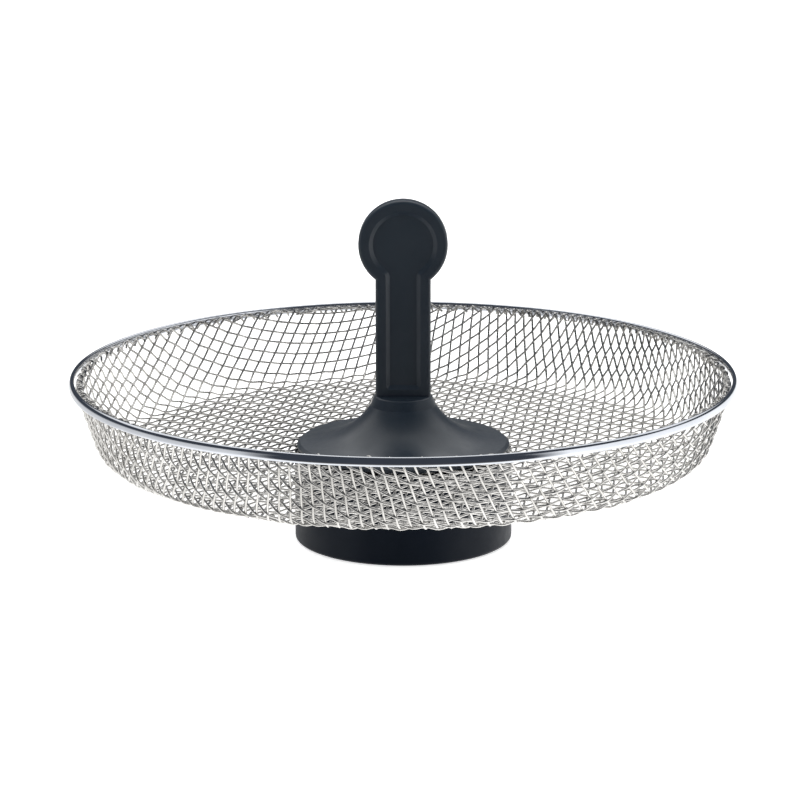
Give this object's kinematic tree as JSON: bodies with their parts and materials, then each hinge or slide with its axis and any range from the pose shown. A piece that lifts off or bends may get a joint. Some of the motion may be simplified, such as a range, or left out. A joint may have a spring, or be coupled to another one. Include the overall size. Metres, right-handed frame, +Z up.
{
  "type": "wire mesh snack tray",
  "caption": "Shallow round woven-wire snack tray with a polished rim hoop, an upright keyhole-shaped handle on a flared hub, and a hollow skirt that stands round a fryer pan's centre post.",
  "frame": {"origin": "centre of the circle on which the skirt stands, at its lowest face", "axes": "+Z up along the axis of the tray, +X across the handle's faces to the right as seen from the front, -Y out of the handle's front face"},
  "size_m": [0.225, 0.225, 0.1163],
  "materials": {
    "steel_cloth": "bright drawn wire",
    "polished_hoop": "polished",
    "black_plastic": "satin, slightly blue-black",
    "steel_fittings": "plain"
  },
  "bodies": {
    "root": {"mesh_basket": "steel_cloth", "rim_hoop": "polished_hoop", "handle": "black_plastic", "hub_cone": "black_plastic", "base_skirt": "black_plastic", "clamp_ring_upper": "steel_fittings", "clamp_ring_lower": "steel_fittings", "hub_screws": "steel_fittings", "handle_screw": "steel_fittings"}
  },
  "joints": []
}
